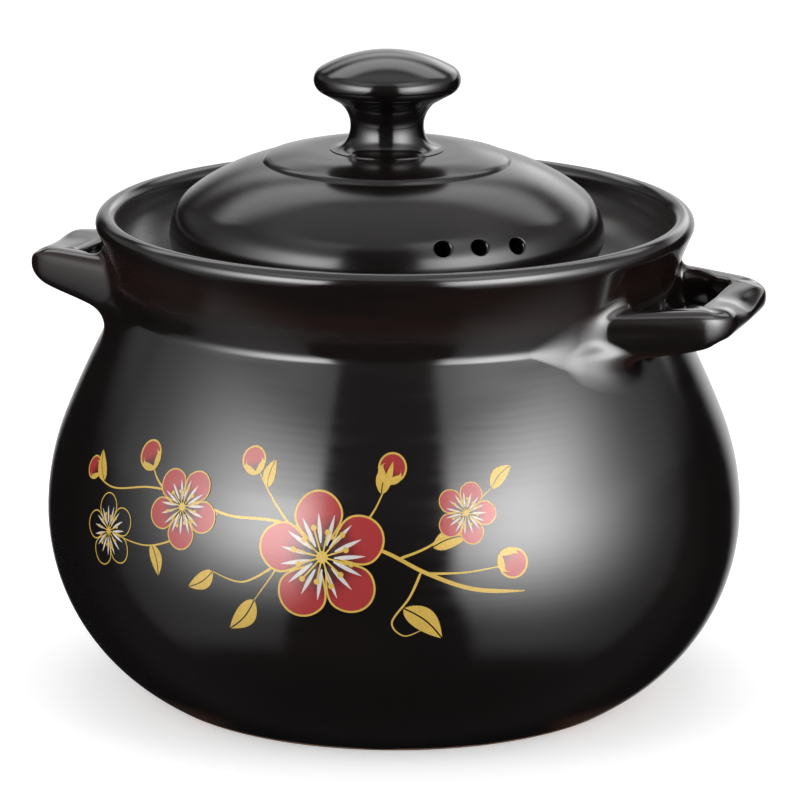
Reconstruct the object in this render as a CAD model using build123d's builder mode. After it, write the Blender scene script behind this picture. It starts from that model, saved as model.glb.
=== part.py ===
from build123d import *
import os
from math import asin, atan2, cos, degrees, hypot, radians, sin, sqrt, tan

# A lidded clay soup pot. Z is its axis, Z = 0 is the surface it stands on,
# and its two ear handles lie along X. All sizes are in millimetres.

# Pot body, outside
rim_height = 173.8
neck_height = 31.8
belly_radius = 125.0
belly_height = 65.0
foot_radius = 87.4
crease_radius = 97.8
crease_round = 5.0
shoulder_length = 40.8
neck_curve_radius = 130.0
lip_flare = 6.2
lip_round = 2.8
foot_recess_radius = 72.0
foot_recess_depth = 1.5
foot_round = 0.8

# Pot body, inside
wall = 6.5
floor_thickness = 8.0
floor_round = 10.0
gallery_drop = 19.3
gallery_width = 18.7
gallery_thickness = 6.0
gallery_round = 1.5
gallery_root_round = 5.0

# Lid, with heights above the gallery that it sits on
lid_overlap = 11.0
lid_widest_rise = 13.0
lid_edge_curve_radius = 15.0
lid_tuck_angle = 25.0
lid_shoulder_angle = 52.0
lid_wall = 5.5
lid_seat_round = 1.0
lid_flange_thickness = 5.0
locating_gap = 3.5
locating_ring_wall = 4.5
locating_ring_depth = 5.0
crown_width = 32.7
crown_rise = 37.3
disc_edge_step = 1.2
disc_edge_setback = 0.8
disc_flat_radius = 26.0
disc_rise = 41.5
disc_edge_round = 0.5

# The lid lies loose in its gallery, this far off centre
lid_shift = 2.9
lid_shift_bearing = 198.7

# Steam holes through the lid
vent_count = 3
vent_diameter = 5.4
vent_spacing = 10.6
vent_middle_bearing = -45.8
vent_curve_angle = 31.0
drill_overrun = 10.0

# Knob, with heights above the lid's disc
knob_height = 35.2
knob_radius = 26.2
knob_widest_rise = 24.9
knob_waist_radius = 13.1
knob_waist_rise = 8.5
knob_waist_curve_radius = 10.8
knob_neck_rise = 17.4
knob_edge_round = 4.6
knob_foot_radius = 20.4
knob_foot_edge = 0.25
knob_foot_round = 4.5

# Ear handles
ear_stand_out = 34.0
ear_top_rise = 10.0
ear_depth = 15.5
ear_tip_depth = 9.0
ear_bar_thickness = 12.3
ear_arm_thickness = 9.2
ear_tip_half_width = 27.9
ear_arm_lean = 28.6
ear_outer_round = 12.0
ear_inner_round = 7.0
ear_edge_round = 3.6
ear_tip_taper_length = 18.0
ear_root_embed = 18.0
# The left one is luted on a little higher
left_ear_raise = 3.3


def on_circle(centre, radius, angle):
    """Point at an angle, in degrees, on a circle in the (radius, height) plane."""
    turn = radians(angle)
    return (centre[0] + radius * cos(turn), centre[1] + radius * sin(turn))


def arc_between(centre, radius, start_angle, end_angle):
    """Arc of a known circle, drawn from one angle to another."""
    return ThreePointArc(
        on_circle(centre, radius, start_angle),
        on_circle(centre, radius, (start_angle + end_angle) / 2),
        on_circle(centre, radius, end_angle),
    )


def circles_meet(centre_a, radius_a, centre_b, radius_b):
    """Where two circles cross, on the right-hand side going from a to b."""
    gap_r = centre_b[0] - centre_a[0]
    gap_z = centre_b[1] - centre_a[1]
    gap = hypot(gap_r, gap_z)
    along = (radius_a**2 - radius_b**2 + gap**2) / (2 * gap)
    aside = sqrt(radius_a**2 - along**2)
    return (
        centre_a[0] + (along * gap_r + aside * gap_z) / gap,
        centre_a[1] + (along * gap_z - aside * gap_r) / gap,
    )


def angle_to(centre, point):
    return degrees(atan2(point[1] - centre[1], point[0] - centre[0]))


# Centres and corners of the body's outline. Both belly curves are upright at the
# belly: the lower one ends at the foot, the upper one in a straight shoulder
belly_over_foot = belly_radius - foot_radius
lower_curve_radius = (belly_over_foot**2 + belly_height**2) / (2 * belly_over_foot)
lower_centre = (belly_radius - lower_curve_radius, belly_height)
foot_corner = (foot_radius, 0)
foot_angle = angle_to(lower_centre, foot_corner)
crease_corner = (crease_radius, rim_height - neck_height)
belly_over_crease = belly_radius - crease_radius
crease_over_belly = crease_corner[1] - belly_height
curve_rise = (belly_over_crease**2 + crease_over_belly**2 - shoulder_length**2) / (
    2 * (crease_over_belly + shoulder_length)
)
shoulder_lean = degrees(atan2(belly_over_crease, crease_over_belly - curve_rise))
upper_curve_radius = curve_rise / tan(radians(shoulder_lean / 2))
upper_centre = (belly_radius - upper_curve_radius, belly_height)
shoulder_start = on_circle(upper_centre, upper_curve_radius, shoulder_lean)
shoulder_fall = tan(radians(shoulder_lean))
lip_centre = (crease_radius + lip_flare, rim_height - lip_round)
neck_centre = circles_meet(
    crease_corner, neck_curve_radius, lip_centre, neck_curve_radius + lip_round
)
neck_start_angle = angle_to(neck_centre, crease_corner)
neck_end_angle = angle_to(neck_centre, lip_centre)
lip_outer_angle = neck_end_angle - 180


def draw_outer_skin():
    """The body's outside, from the foot up to the outer side of the lip."""
    arc_between(lower_centre, lower_curve_radius, foot_angle, 0)
    arc_between(upper_centre, upper_curve_radius, 0, shoulder_lean)
    Line(shoulder_start, crease_corner)
    arc_between(neck_centre, neck_curve_radius, neck_start_angle, neck_end_angle)


# Outer envelope of the body, which the ear handles are cut to
with BuildPart() as pot_envelope:
    with BuildSketch(Plane.XZ):
        with BuildLine():
            draw_outer_skin()
            arc_between(lip_centre, lip_round, lip_outer_angle, 90)
            Polyline((lip_centre[0], rim_height), (0, rim_height), (0, 0), foot_corner)
        make_face()
        fillet(vertices().sort_by_distance(crease_corner)[0], crease_round)
    revolve(axis=Axis.Z)

# Inside of the body: the same curves drawn one wall further in
gallery_height = rim_height - gallery_drop
funnel_radius = lip_centre[1] - gallery_height
funnel_centre = (lip_centre[0] - lip_round - funnel_radius, lip_centre[1])
mouth_radius = funnel_centre[0] - gallery_width
gallery_underside = gallery_height - gallery_thickness
inner_shoulder = on_circle(upper_centre, upper_curve_radius - wall, shoulder_lean)
throat_radius = crease_radius - wall
throat_height = inner_shoulder[1] + (inner_shoulder[0] - throat_radius) / shoulder_fall
inner_lower_radius = lower_curve_radius - wall
floor_angle = -degrees(asin((belly_height - floor_thickness) / inner_lower_radius))
floor_corner = on_circle(lower_centre, inner_lower_radius, floor_angle)
throat_corner = (throat_radius, gallery_underside)

with BuildPart() as pot_body:
    with BuildSketch(Plane.XZ):
        with BuildLine():
            draw_outer_skin()
            arc_between(lip_centre, lip_round, lip_outer_angle, 180)
            arc_between(funnel_centre, funnel_radius, 0, -90)
            Polyline(
                (funnel_centre[0], gallery_height),
                (mouth_radius, gallery_height),
                (mouth_radius, gallery_underside),
                throat_corner,
                (throat_radius, throat_height),
                inner_shoulder,
            )
            arc_between(upper_centre, upper_curve_radius - wall, shoulder_lean, 0)
            arc_between(lower_centre, inner_lower_radius, 0, floor_angle)
            Polyline(
                floor_corner,
                (0, floor_thickness),
                (0, foot_recess_depth),
                (foot_recess_radius, foot_recess_depth),
                (foot_recess_radius + foot_recess_depth, 0),
                foot_corner,
            )
        make_face()
        fillet(vertices().sort_by_distance(crease_corner)[0], crease_round)
        fillet(vertices().sort_by_distance(floor_corner)[0], floor_round)
        fillet(vertices().sort_by_distance(foot_corner)[0], foot_round)
        fillet(vertices().sort_by_distance(throat_corner)[0], gallery_root_round)
        for height in (gallery_height, gallery_underside):
            fillet(vertices().sort_by_distance((mouth_radius, height))[0], gallery_round)
    revolve(axis=Axis.Z)
pot_body.part.label = "pot_body"

# One ear, drawn along X: a flat strap bent into a triangle with a blunt tip
ear_root_x = crease_radius - ear_root_embed
ear_reach = crease_radius + ear_stand_out
arm_splay = tan(radians(ear_arm_lean))
arm_offset = ear_arm_thickness / cos(radians(ear_arm_lean))
ear_inner_x = ear_reach - ear_bar_thickness
ear_root_half = ear_tip_half_width + (ear_reach - ear_root_x) * arm_splay
hole_tip_half = ear_tip_half_width + ear_bar_thickness * arm_splay - arm_offset
hole_root_half = ear_root_half - arm_offset
ear_top_height = crease_corner[1] + ear_top_rise
ear_bottom_height = ear_top_height - ear_depth
taper_start = (ear_reach - ear_tip_taper_length, ear_bottom_height)
taper_end = (ear_reach, ear_top_height - ear_tip_depth)

with BuildPart() as ear_blank:
    with BuildSketch(Plane.XY.offset(ear_bottom_height)):
        with BuildLine():
            Polyline(
                (ear_root_x, -ear_root_half),
                (ear_reach, -ear_tip_half_width),
                (ear_reach, ear_tip_half_width),
                (ear_root_x, ear_root_half),
                close=True,
            )
        make_face()
        fillet(vertices().group_by(Axis.X)[-1], ear_outer_round)
    extrude(amount=ear_depth)
    with BuildSketch(Plane.XY.offset(ear_bottom_height)):
        with BuildLine():
            Polyline(
                (ear_root_x, -hole_root_half),
                (ear_inner_x, -hole_tip_half),
                (ear_inner_x, hole_tip_half),
                (ear_root_x, hole_root_half),
                close=True,
            )
        make_face()
        fillet(vertices().group_by(Axis.X)[-1], ear_inner_round)
    extrude(amount=ear_depth, mode=Mode.SUBTRACT)
    # The underside sweeps up towards the tip
    with BuildSketch(Plane.XZ):
        with BuildLine():
            TangentArc(taper_start, taper_end, tangent=(1, 0))
            Polyline(taper_end, (ear_reach, ear_bottom_height), taper_start)
        make_face()
    extrude(amount=ear_root_half, both=True, mode=Mode.SUBTRACT)
    long_edges = edges().filter_by(Axis.Z, reverse=True)
    fillet(
        long_edges.filter_by_position(Axis.X, ear_root_x, ear_reach, inclusive=(False, True)),
        ear_edge_round,
    )

with BuildPart() as handle_right:
    add(ear_blank.part)
    add(pot_envelope.part, mode=Mode.SUBTRACT)
handle_right.part.label = "handle_right"

with BuildPart() as handle_left:
    with Locations((0, 0, left_ear_raise)):
        add(ear_blank.part.rotate(Axis.Z, 180))
    add(pot_envelope.part, mode=Mode.SUBTRACT)
handle_left.part.label = "handle_left"

# Lid outline, from the flat seat up over the tucked edge to the raised disc,
# with heights counted from the gallery
shift_turn = radians(lid_shift_bearing)
lid_x = lid_shift * cos(shift_turn)
lid_y = lid_shift * sin(shift_turn)
lid_plane = Plane(origin=(lid_x, lid_y, gallery_height), x_dir=(1, 0, 0), z_dir=(0, -1, 0))
knob_plane = Plane(
    origin=(lid_x, lid_y, gallery_height + disc_rise), x_dir=(1, 0, 0), z_dir=(0, -1, 0)
)
lid_axis = Axis((lid_x, lid_y, 0), (0, 0, 1))
lid_radius = mouth_radius + lid_overlap
edge_centre = (lid_radius - lid_edge_curve_radius, lid_widest_rise)
tuck_point = on_circle(edge_centre, lid_edge_curve_radius, -lid_tuck_angle)
seat_corner = (tuck_point[0] - tuck_point[1] * tan(radians(lid_tuck_angle)), 0)
crown_start = on_circle(edge_centre, lid_edge_curve_radius, lid_shoulder_angle)
crown_end = (lid_radius - crown_width, crown_rise)
crown_chord = hypot(crown_end[0] - crown_start[0], crown_end[1] - crown_start[1])
chord_turn = angle_to(crown_start, crown_end) - (lid_shoulder_angle + 90)
crown_radius = crown_chord / 2 / sin(radians(chord_turn))
crown_centre = on_circle(crown_start, -crown_radius, lid_shoulder_angle)
crown_end_angle = angle_to(crown_centre, crown_end)
disc_edge = (crown_end[0] - disc_edge_setback, crown_rise + disc_edge_step)
ring_outer = mouth_radius - locating_gap
ring_inner = ring_outer - locating_ring_wall
hollow_edge_radius = lid_edge_curve_radius - lid_wall
hollow_crown_radius = crown_radius - lid_wall
hollow_top = crown_centre[1] + hollow_crown_radius

with BuildPart() as lid:
    with BuildSketch(lid_plane):
        with BuildLine():
            Line(seat_corner, tuck_point)
            arc_between(edge_centre, lid_edge_curve_radius, -lid_tuck_angle, lid_shoulder_angle)
            arc_between(crown_centre, crown_radius, lid_shoulder_angle, crown_end_angle)
            Line(crown_end, disc_edge)
            TangentArc((disc_flat_radius, disc_rise), disc_edge, tangent=(1, 0))
            Polyline(
                (disc_flat_radius, disc_rise),
                (0, disc_rise),
                (0, hollow_top),
                (crown_centre[0], hollow_top),
            )
            arc_between(crown_centre, hollow_crown_radius, 90, lid_shoulder_angle)
            arc_between(edge_centre, hollow_edge_radius, lid_shoulder_angle, 0)
            Polyline(
                on_circle(edge_centre, hollow_edge_radius, 0),
                (ring_inner, lid_flange_thickness),
                (ring_inner, -locating_ring_depth),
                (ring_outer, -locating_ring_depth),
                (ring_outer, 0),
                seat_corner,
            )
        make_face()
        fillet(vertices().sort_by_distance(seat_corner)[0], lid_seat_round)
        fillet(vertices().sort_by_distance(disc_edge)[0], disc_edge_round)
    revolve(axis=lid_axis)
    # The holes are punched side by side, square to the dome at the middle one
    punch = on_circle(edge_centre, lid_edge_curve_radius, vent_curve_angle)
    punch_way = on_circle((0, 0), 1, vent_curve_angle)
    middle = radians(vent_middle_bearing)
    punch_normal = (punch_way[0] * cos(middle), punch_way[0] * sin(middle), punch_way[1])
    for index in range(vent_count):
        step = index - (vent_count - 1) / 2
        bearing = radians(vent_middle_bearing + step * vent_spacing)
        punch_point = (
            lid_x + punch[0] * cos(bearing),
            lid_y + punch[0] * sin(bearing),
            gallery_height + punch[1],
        )
        punch_plane = Plane(origin=punch_point, z_dir=punch_normal)
        with Locations(punch_plane.offset(vent_diameter)):
            Hole(vent_diameter / 2, depth=vent_diameter + lid_wall + drill_overrun)
lid.part.label = "lid"

# Knob outline, with heights counted from the flat of the lid's disc
waist_centre = (knob_waist_radius + knob_waist_curve_radius, knob_waist_rise)
foot_meet = (
    waist_centre[0] - sqrt(knob_waist_curve_radius**2 - (knob_waist_rise - knob_foot_edge) ** 2),
    knob_foot_edge,
)
neck_meet = (
    waist_centre[0] - sqrt(knob_waist_curve_radius**2 - (knob_neck_rise - knob_waist_rise) ** 2),
    knob_neck_rise,
)
waist_foot_angle = angle_to(waist_centre, foot_meet)
waist_neck_angle = angle_to(waist_centre, neck_meet)
knob_edge_centre = (knob_radius - knob_edge_round, knob_widest_rise)
cap_rise = knob_height - knob_widest_rise
cap_radius = (knob_edge_centre[0] ** 2 + cap_rise**2 - knob_edge_round**2) / (
    2 * (cap_rise - knob_edge_round)
)
cap_centre = (0, knob_height - cap_radius)
cap_angle = angle_to(cap_centre, knob_edge_centre)
under_reach = hypot(knob_edge_centre[0] - neck_meet[0], knob_edge_centre[1] - neck_meet[1])
under_angle = angle_to(neck_meet, knob_edge_centre) - degrees(asin(knob_edge_round / under_reach))

with BuildPart() as lid_knob:
    with BuildSketch(knob_plane):
        with BuildLine():
            Polyline((0, 0), (knob_foot_radius, 0), (knob_foot_radius, knob_foot_edge), foot_meet)
            arc_between(
                waist_centre, knob_waist_curve_radius, waist_foot_angle + 360, waist_neck_angle
            )
            Line(neck_meet, on_circle(knob_edge_centre, knob_edge_round, under_angle - 90))
            arc_between(knob_edge_centre, knob_edge_round, under_angle - 90, cap_angle)
            arc_between(cap_centre, cap_radius, cap_angle, 90)
            Line((0, knob_height), (0, 0))
        make_face()
        fillet(vertices().sort_by_distance(foot_meet)[0], knob_foot_round)
    revolve(axis=lid_axis)
lid_knob.part.label = "lid_knob"

# One STEP file for each piece
os.makedirs("parts", exist_ok=True)
export_step(pot_body.part, "parts/pot_body.step")
export_step(handle_right.part, "parts/handle_right.step")
export_step(handle_left.part, "parts/handle_left.step")
export_step(lid.part, "parts/lid.step")
export_step(lid_knob.part, "parts/lid_knob.step")
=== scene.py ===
from math import acos, asin, atan2, cos, degrees, exp, hypot, pi, radians, sin, sqrt, tan

import bpy
from mathutils import Matrix, Vector
from mathutils.bvhtree import BVHTree


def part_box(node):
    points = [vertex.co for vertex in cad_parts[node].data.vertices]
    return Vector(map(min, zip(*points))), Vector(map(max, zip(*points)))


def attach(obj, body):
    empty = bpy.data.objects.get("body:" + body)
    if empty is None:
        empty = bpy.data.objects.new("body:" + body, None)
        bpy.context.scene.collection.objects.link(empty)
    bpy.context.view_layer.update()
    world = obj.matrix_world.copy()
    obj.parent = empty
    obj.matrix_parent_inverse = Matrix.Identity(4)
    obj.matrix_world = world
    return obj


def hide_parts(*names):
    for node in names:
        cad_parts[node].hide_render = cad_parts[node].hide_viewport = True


# A glazed clay soup pot with its lid on. Blender works in metres,
# and the sizes in the pieces' dictionaries are in millimetres
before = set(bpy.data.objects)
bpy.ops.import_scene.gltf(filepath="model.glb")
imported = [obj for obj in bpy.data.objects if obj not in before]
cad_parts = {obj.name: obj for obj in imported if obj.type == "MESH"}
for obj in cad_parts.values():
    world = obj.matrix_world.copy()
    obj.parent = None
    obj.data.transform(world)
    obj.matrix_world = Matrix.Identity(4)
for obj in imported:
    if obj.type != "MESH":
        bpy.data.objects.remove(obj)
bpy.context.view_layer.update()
print("frame loaded:", ", ".join(sorted(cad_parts)))
mm = 0.001
mergeGap = 0.002  # closes the seams and poles of turned pieces, in millimetres


# Shader maths

class Shade:
    # One output of a node, so that sums of outputs add their own Math nodes
    def __init__(self, tree, socket=None):
        self.tree = tree
        self.socket = socket

    def node(self, kind, settings=None, inputs=None, output=0):
        made = self.tree.nodes.new(kind)
        for name, value in (settings or {}).items():
            if name == "stops":
                self.setStops(made.color_ramp, value)
            else:
                setattr(made, name, value)
        for name, value in (inputs or {}).items():
            if isinstance(value, Shade):
                self.tree.links.new(value.socket, made.inputs[name])
            else:
                made.inputs[name].default_value = value
        return Shade(self.tree, made.outputs[output])

    def setStops(self, ramp, stops):
        while len(ramp.elements) < len(stops):
            ramp.elements.new(0.5)
        for element, (place, colour) in zip(ramp.elements, stops):
            element.position = place
            element.color = colour

    def maths(self, operation, *values):
        return self.node("ShaderNodeMath", {"operation": operation}, dict(enumerate(values)))

    def of(self, operation, *others):
        return self.maths(operation, self, *others)

    def __add__(self, other):
        return self.maths("ADD", self, other)

    def __radd__(self, other):
        return self.maths("ADD", other, self)

    def __sub__(self, other):
        return self.maths("SUBTRACT", self, other)

    def __rsub__(self, other):
        return self.maths("SUBTRACT", other, self)

    def __mul__(self, other):
        return self.maths("MULTIPLY", self, other)

    def __rmul__(self, other):
        return self.maths("MULTIPLY", other, self)

    def __truediv__(self, other):
        return self.maths("DIVIDE", self, other)

    def __pow__(self, other):
        return self.maths("POWER", self, other)

    def ramp(self, low, high, outLow=0.0, outHigh=1.0):
        # soft step from one level to another
        return self.node(
            "ShaderNodeMapRange",
            {"interpolation_type": "SMOOTHSTEP"},
            {"Value": self, "From Min": low, "From Max": high, "To Min": outLow, "To Max": outHigh},
        )

    def bell(self, centre, width):
        # hump that is 1 at its centre
        offset = (self - centre) * (1 / width)
        return (offset * offset * -1).of("EXPONENT")

    def blend(self, colourA, colourB):
        # self is the share of colour B; 6, 7 and output 2 are the node's colour sockets
        return self.node(
            "ShaderNodeMix",
            {"data_type": "RGBA"},
            {"Factor": self, 6: colourA, 7: colourB},
            output=2,
        )

    def split(self):
        # the X, Y and Z of a vector
        parts = self.node("ShaderNodeSeparateXYZ", None, {"Vector": self}).socket.node
        return [Shade(self.tree, socket) for socket in parts.outputs]


def noise(shade, where, scale, detail=2.0, roughness=0.5):
    return shade.node(
        "ShaderNodeTexNoise",
        None,
        {"Vector": where, "Scale": scale, "Detail": detail, "Roughness": roughness},
    )


def stretched(shade, where, x, y, z):
    return shade.node("ShaderNodeMapping", None, {"Vector": where, "Scale": (x, y, z)})


def newMaterial(name):
    material = bpy.data.materials.new(name)
    material.use_nodes = True
    tree = material.node_tree
    surface = tree.nodes["Principled BSDF"]
    shade = Shade(tree)
    where = shade.node("ShaderNodeTexCoord", output="Object")
    return material, shade, surface, where


def setSurface(shade, surface, values):
    for name, value in values.items():
        if isinstance(value, Shade):
            shade.tree.links.new(value.socket, surface.inputs[name])
        else:
            surface.inputs[name].default_value = value


glazeLook = {
    "black": (0.0052, 0.0038, 0.0038, 1),
    "umber": (0.0090, 0.0058, 0.0054, 1),
    # brown is the thin glaze under the ears, and a painted warm reflection on the neck
    "brownThinAndReflected": (0.026, 0.0100, 0.0078, 1),
    # lighter brown of the thin glaze at the foot, as side light shows it: partly painted light
    "litThinGlaze": (0.10, 0.043, 0.026, 1),
    "ior": 1.5,
    # worn: heights between which the drier glaze inside the neck or at the lid's edge ends
    "pot": {"roughness": 0.11, "gloss": 0.5, "worn": (171, 174)},
    "lid": {"roughness": 0.17, "gloss": 0.3, "worn": (160, 172)},
    "knob": {"roughness": 0.11, "gloss": 0.38, "worn": (160, 172)},
    "ringPitch": 2.6,
    "ringDepth": 0.0022,
    "peelDepth": 0.0016,
    # heights and radii between which a finish comes or goes
    "wornFloor": (146, 150),
    "wornRadius": (100, 101.5),
    "wornRoughness": 0.16,
    # the brown band on the neck is a painted warm reflection
    "neckReflectionBand": (158, 10),  # its middle and its half width
    "neckReflectionRadius": (92, 95),
    "earUnderside": (134, 141),
    "earFloor": (130, 134),
    "earRadius": (104, 108),
    "earShare": 0.9,
    # thin glaze above the foot, painted lighter on the two sides where side light falls
    "litSkirt": (3, 13),
    "litSides": (50, 66),
    "litSidesTurn": 18.7,
}


def makeGlaze(kind):
    look, own = glazeLook, glazeLook[kind]
    material, shade, surface, where = newMaterial(kind + "Glaze")
    across, depth, height = where.split()
    radius = (across * across + depth * depth).of("SQRT") * (1 / mm)
    level = height * (1 / mm)
    # umber clouds, and brown: under the ears where the glaze ran thin, and on the neck below the lip as a
    # painted warm reflection
    clouds = noise(shade, stretched(shade, where, 1, 1, 2.2), 14, 4.0, 0.6).ramp(0.48, 0.72)
    specks = noise(shade, where, 900, 1.0).ramp(0.68, 0.76)
    colour = (clouds * 0.6 + specks * 0.4).blend(look["black"], look["umber"])
    streaks = noise(shade, stretched(shade, where, 1, 1, 9), 11, 3.0).ramp(0.35, 0.65, 0.1, 0.45)
    # painted warm reflection: a streaked brown band on the neck below the lip
    neck = level.bell(*look["neckReflectionBand"]) * radius.ramp(*look["neckReflectionRadius"]) * streaks
    under = level.ramp(*look["earUnderside"], 1, 0) * level.ramp(*look["earFloor"])
    under = under * radius.ramp(*look["earRadius"]) * look["earShare"]
    colour = neck.of("MAXIMUM", under).blend(colour, look["brownThinAndReflected"])
    # just above the foot the glaze is thin; its lighter brown is painted on two sides only, those across from
    # the camera's bearing where the side light falls, so it is partly painted light
    turn = radians(look["litSidesTurn"])
    aside = ((across * cos(turn) + depth * sin(turn)) * (1 / mm)).of("ABSOLUTE")
    wiped = noise(shade, stretched(shade, where, 1, 1, 0.2), 16, 3.0).ramp(0.3, 0.6, 0.3, 1)
    litSkirt = level.ramp(*look["litSkirt"], 1, 0) * wiped * aside.ramp(*look["litSides"])
    colour = litSkirt.blend(colour, look["litThinGlaze"])
    # faint rings of the potter's wheel, broken up, and the fine peel of the glaze
    drift = noise(shade, where, 9, 2.0)
    rings = (level * (2 * pi / look["ringPitch"]) + drift * 26).of("SINE")
    peel = noise(shade, where, 380, 2.0)
    relief = rings * (look["ringDepth"] * drift) + peel * look["peelDepth"]
    bump = shade.node("ShaderNodeBump", None, {"Strength": 1.0, "Distance": mm, "Height": relief})
    sheen = noise(shade, stretched(shade, where, 1, 1, 14), 22, 3.0)
    # the glaze is drier inside the neck and at the lid's edge
    dry = radius.ramp(*look["wornRadius"], look["wornRoughness"], 0)
    dry = dry * level.ramp(*own["worn"], 1, 0) * level.ramp(*look["wornFloor"])
    setSurface(shade, surface, {
        "Base Color": colour,
        "Roughness": sheen.ramp(0.3, 0.7, own["roughness"] - 0.02, own["roughness"] + 0.03) + dry,
        "IOR": look["ior"],
        "Specular IOR Level": own["gloss"],
        "Normal": bump,
    })
    return material


clayLook = {
    "dark": (0.10, 0.048, 0.026, 1),
    "light": (0.36, 0.2, 0.12, 1),
    "roughness": 0.85,
    "grainDepth": 0.15,
}


def makeBareClay():
    look = clayLook
    material, shade, surface, where = newMaterial("bareClay")
    grain = noise(shade, where, 700, 4.0, 0.7)
    patches = noise(shade, where, 45, 3.0)
    colour = (grain * 0.6 + patches * 0.5).blend(look["dark"], look["light"])
    relief = {"Strength": 1.0, "Distance": look["grainDepth"] * mm, "Height": grain}
    bump = shade.node("ShaderNodeBump", None, relief)
    setSurface(shade, surface, {"Base Color": colour, "Roughness": look["roughness"], "Normal": bump})
    return material


# Modelling by hand

class Outline:
    # A line drawn point by point in the XZ plane, then turned round an upright axis
    def __init__(self, name, r, z):
        bpy.ops.object.select_all(action="DESELECT")
        bpy.ops.mesh.primitive_plane_add(size=mm)
        self.piece = bpy.context.object
        self.piece.name = name
        self.piece.data.name = name
        bpy.ops.object.mode_set(mode="EDIT")
        bpy.ops.mesh.select_all(action="SELECT")
        bpy.ops.mesh.merge(type="CENTER")
        bpy.ops.transform.translate(value=(r * mm, 0, z * mm))
        self.r = r
        self.z = z

    def line(self, r, z, parts=1):
        stride = ((r - self.r) * mm / parts, 0, (z - self.z) * mm / parts)
        for _ in range(parts):
            bpy.ops.mesh.extrude_region_move(TRANSFORM_OT_translate={"value": stride})
        self.r = r
        self.z = z

    def arc(self, centre, turn, parts):
        # turn is in degrees, anticlockwise with Z up and the radius to the right
        bpy.ops.mesh.spin(
            steps=parts, angle=radians(turn), center=(centre[0] * mm, 0, centre[1] * mm), axis=(0, 1, 0)
        )
        r, z = self.r - centre[0], self.z - centre[1]
        turned = radians(turn)
        self.r = centre[0] + r * cos(turned) - z * sin(turned)
        self.z = centre[1] + r * sin(turned) + z * cos(turned)

    def revolve(self, steps):
        bpy.ops.mesh.select_all(action="SELECT")
        bpy.ops.mesh.spin(steps=steps, angle=2 * pi, center=(0, 0, 0), axis=(0, 0, 1))
        bpy.ops.mesh.select_all(action="SELECT")
        bpy.ops.mesh.remove_doubles(threshold=mergeGap * mm)
        bpy.ops.mesh.normals_make_consistent(inside=False)
        bpy.ops.object.mode_set(mode="OBJECT")
        return self.piece


def turnedBy(centre, point):
    return degrees(atan2(point[1] - centre[1], point[0] - centre[0]))


def onCircle(centre, radius, angle):
    return (centre[0] + radius * cos(radians(angle)), centre[1] + radius * sin(radians(angle)))


def only(piece):
    bpy.ops.object.select_all(action="DESELECT")
    piece.select_set(True)
    bpy.context.view_layer.objects.active = piece


def discard(piece):
    only(piece)
    bpy.ops.object.delete()


def moveTo(piece, x, y):
    only(piece)
    piece.location = (x, y, 0)
    bpy.ops.object.transform_apply()


def smoothShade(piece, angle=40):
    only(piece)
    bpy.ops.object.shade_smooth_by_angle(angle=radians(angle))


def applyModifier(piece, kind, **settings):
    only(piece)
    bpy.ops.object.modifier_add(type=kind)
    modifier = piece.modifiers[-1]
    for name, value in settings.items():
        setattr(modifier, name, value)
    bpy.ops.object.modifier_apply(modifier=modifier.name)


# Pot body

_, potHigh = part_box("pot_body")
pot = {
    "rimHeight": potHigh.z / mm,
    "bellyRadius": potHigh.x / mm,
    "bellyHeight": 65,
    "footRadius": 87.4,
    "footRound": 0.8,
    "footTurn": 0.6,  # degrees of the belly's curve that the foot's rounding takes
    "footCorner": (0.1, 0.12),  # how far its middle point is moved in, and its height
    "recessRadius": 72,
    "recessDepth": 1.5,
    "lowerCurve": 74.98,
    "upperCurve": 91.97,
    "shoulderLean": 22,
    "creaseRadius": 97.8,
    "creaseHeight": 142,
    "creaseRound": 5,
    "neckCurve": 130,
    "lipRadius": 103,
    "lipRound": 3.8,
    "wall": 6.5,
    "floor": 8,
    "floorTurn": 6,  # degrees of the inner curve that the floor's rounding takes
    "floorCorner": (6, 1.2),
    "throatRound": 5,
    "galleryHeight": 154.5,
    "galleryThickness": 6,
    "galleryRound": 1.5,
    "mouthRadius": 66,
    "steps": 384,
}


def bellyCircles():
    # centres of the belly's two curves, and the centre, radius and last angle of the shoulder's slow curve
    p = pot
    lower = (p["bellyRadius"] - p["lowerCurve"], p["bellyHeight"])
    upper = (p["bellyRadius"] - p["upperCurve"], p["bellyHeight"])
    start = onCircle(upper, p["upperCurve"], p["shoulderLean"])
    crease = (p["creaseRadius"], p["creaseHeight"])
    turn = 2 * (turnedBy(start, crease) - 90 - p["shoulderLean"])
    radius = hypot(crease[0] - start[0], crease[1] - start[1]) / 2 / sin(radians(turn / 2))
    shoulder = onCircle(start, -radius, p["shoulderLean"])
    return lower, upper, shoulder, radius, p["shoulderLean"] + turn


def lipCentre():
    return (pot["lipRadius"], pot["rimHeight"] - pot["lipRound"])


def neckCentre():
    # the neck's curve touches the crease corner and the lip
    p = pot
    lip = lipCentre()
    crease = (p["creaseRadius"], p["creaseHeight"])
    reach = hypot(lip[0] - crease[0], lip[1] - crease[1])
    outer = p["neckCurve"] + p["lipRound"]
    along = (p["neckCurve"] ** 2 - outer**2 + reach**2) / (2 * reach)
    aside = sqrt(p["neckCurve"] ** 2 - along**2)
    unit = ((lip[0] - crease[0]) / reach, (lip[1] - crease[1]) / reach)
    return (
        crease[0] + along * unit[0] + aside * unit[1],
        crease[1] + along * unit[1] - aside * unit[0],
    )


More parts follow.
